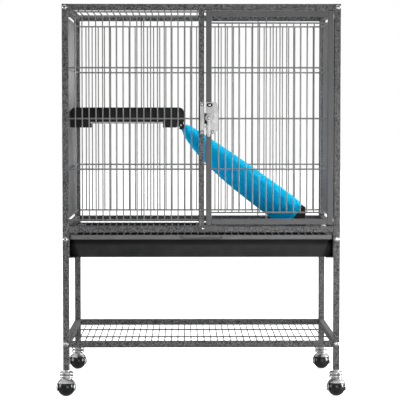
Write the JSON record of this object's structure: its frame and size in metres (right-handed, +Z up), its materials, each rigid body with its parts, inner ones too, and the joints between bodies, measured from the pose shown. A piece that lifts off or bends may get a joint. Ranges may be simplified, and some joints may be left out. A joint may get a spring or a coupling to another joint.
{
  "type": "ferret cage",
  "caption": "Wire pet cage on a wheeled stand with a hinged door, pull-out floor tray and grate, half-width platform, fleece-covered ramp and a storage shelf.",
  "frame": {"origin": "on the floor under the middle of the outline", "axes": "+X to the right seen from the door side, +Y to the back, +Z up"},
  "size_m": [0.8256, 0.557, 1.111],
  "materials": {
    "hammertone": "hammertone powder coat",
    "smooth_grey": "satin powder coat",
    "wire_grey": "satin powder coat",
    "zinc": "zinc plated",
    "chrome": "polished",
    "black_plastic": "moulded",
    "pan_black": "moulded",
    "fleece": "fleece"
  },
  "bodies": {
    "frame": {"post_front_left": "hammertone", "post_front_right": "hammertone", "post_rear_left": "hammertone", "post_rear_right": "hammertone", "front_top_rail": "hammertone", "front_floor_rail": "hammertone", "front_shelf_rail": "hammertone", "centre_post": "hammertone", "rear_top_rail": "hammertone", "rear_floor_rail": "hammertone", "rear_shelf_rail": "hammertone", "left_top_rail": "hammertone", "right_top_rail": "hammertone", "left_floor_rail": "hammertone", "right_floor_rail": "hammertone", "shelf_side_rails": "hammertone", "runner_rails": "hammertone", "tray_runners": "hammertone", "frame_bolts": "smooth_grey", "front_grille": "wire_grey", "rear_grille": "wire_grey", "left_grille": "wire_grey", "right_grille": "wire_grey", "roof_grille": "wire_grey", "shelf_grate": "wire_grey", "latch_keeper": "zinc", "hinge_pins": "zinc", "hinge_washers": "zinc", "platform_bars": "zinc", "front_screws": "chrome", "caster_stems": "chrome", "post_caps": "black_plastic", "platform": "black_plastic", "platform_clips": "black_plastic"},
    "door": {"door_latch_stile": "smooth_grey", "door_hinge_stile": "smooth_grey", "door_top_tube": "smooth_grey", "door_low_tube": "smooth_grey", "door_grille": "wire_grey", "latch_case": "zinc", "latch_screws": "chrome", "latch_spring": "chrome"},
    "latch": {"latch_lever": "zinc"},
    "tray": {"tray_pan": "pan_black", "tray_rim": "smooth_grey", "tray_pull": "smooth_grey"},
    "grate": {"floor_grate": "wire_grey"},
    "catch": {"tray_catch": "smooth_grey"},
    "ramp": {"ramp_board": "black_plastic", "ramp_cover": "fleece", "ramp_hook": "black_plastic", "ramp_foot": "black_plastic"},
    "swivel_fl": {"caster_hood_fl": "chrome"},
    "ball_fl": {"caster_ball_fl": "black_plastic"},
    "swivel_fr": {"caster_hood_fr": "chrome"},
    "ball_fr": {"caster_ball_fr": "black_plastic"},
    "swivel_rl": {"caster_hood_rl": "chrome"},
    "ball_rl": {"caster_ball_rl": "black_plastic"},
    "swivel_rr": {"caster_hood_rr": "chrome"},
    "ball_rr": {"caster_ball_rr": "black_plastic"}
  },
  "joints": [
    {"name": "door_hinge", "type": "hinge", "parent": "frame", "child": "door", "pos_m": [0.347, -0.242, 0.789], "axis": [0, 0, 1], "range_deg": [0, 120]},
    {"name": "latch_pivot", "type": "hinge", "parent": "door", "child": "latch", "pos_m": [0.0205, -0.255, 0.78995], "axis": [0, -1, 0], "range_deg": [-14, 0]},
    {"name": "tray_slide", "type": "slide", "parent": "frame", "child": "tray", "axis": [0, -1, 0], "range_m": [0, 0.4]},
    {"name": "grate_slide", "type": "slide", "parent": "frame", "child": "grate", "axis": [0, -1, 0], "range_m": [0, 0.4]},
    {"name": "catch_pivot", "type": "hinge", "parent": "frame", "child": "catch", "pos_m": [0.003, -0.2513, 0.4768], "axis": [0, -1, 0], "range_deg": [-90, 0]},
    {"name": "ramp_hinge", "type": "hinge", "parent": "frame", "child": "ramp", "pos_m": [-0.058, -0.008, 0.769], "axis": [0, -1, 0], "range_deg": [0, 15]},
    {"name": "swivel_fl", "type": "hinge", "parent": "frame", "child": "swivel_fl", "pos_m": [-0.3845, -0.241, 0.06], "axis": [0, 0, 1], "continuous": true},
    {"name": "roll_fl", "type": "hinge", "parent": "swivel_fl", "child": "ball_fl", "pos_m": [-0.3845, -0.251, 0.025], "axis": [1, 0, 0], "continuous": true},
    {"name": "swivel_fr", "type": "hinge", "parent": "frame", "child": "swivel_fr", "pos_m": [0.3845, -0.241, 0.06], "axis": [0, 0, 1], "continuous": true},
    {"name": "roll_fr", "type": "hinge", "parent": "swivel_fr", "child": "ball_fr", "pos_m": [0.3845, -0.251, 0.025], "axis": [1, 0, 0], "continuous": true},
    {"name": "swivel_rl", "type": "hinge", "parent": "frame", "child": "swivel_rl", "pos_m": [-0.3845, 0.261, 0.06], "axis": [0, 0, 1], "continuous": true},
    {"name": "roll_rl", "type": "hinge", "parent": "swivel_rl", "child": "ball_rl", "pos_m": [-0.3845, 0.251, 0.025], "axis": [1, 0, 0], "continuous": true},
    {"name": "swivel_rr", "type": "hinge", "parent": "frame", "child": "swivel_rr", "pos_m": [0.3845, 0.261, 0.06], "axis": [0, 0, 1], "continuous": true},
    {"name": "roll_rr", "type": "hinge", "parent": "swivel_rr", "child": "ball_rr", "pos_m": [0.3845, 0.251, 0.025], "axis": [1, 0, 0], "continuous": true}
  ]
}
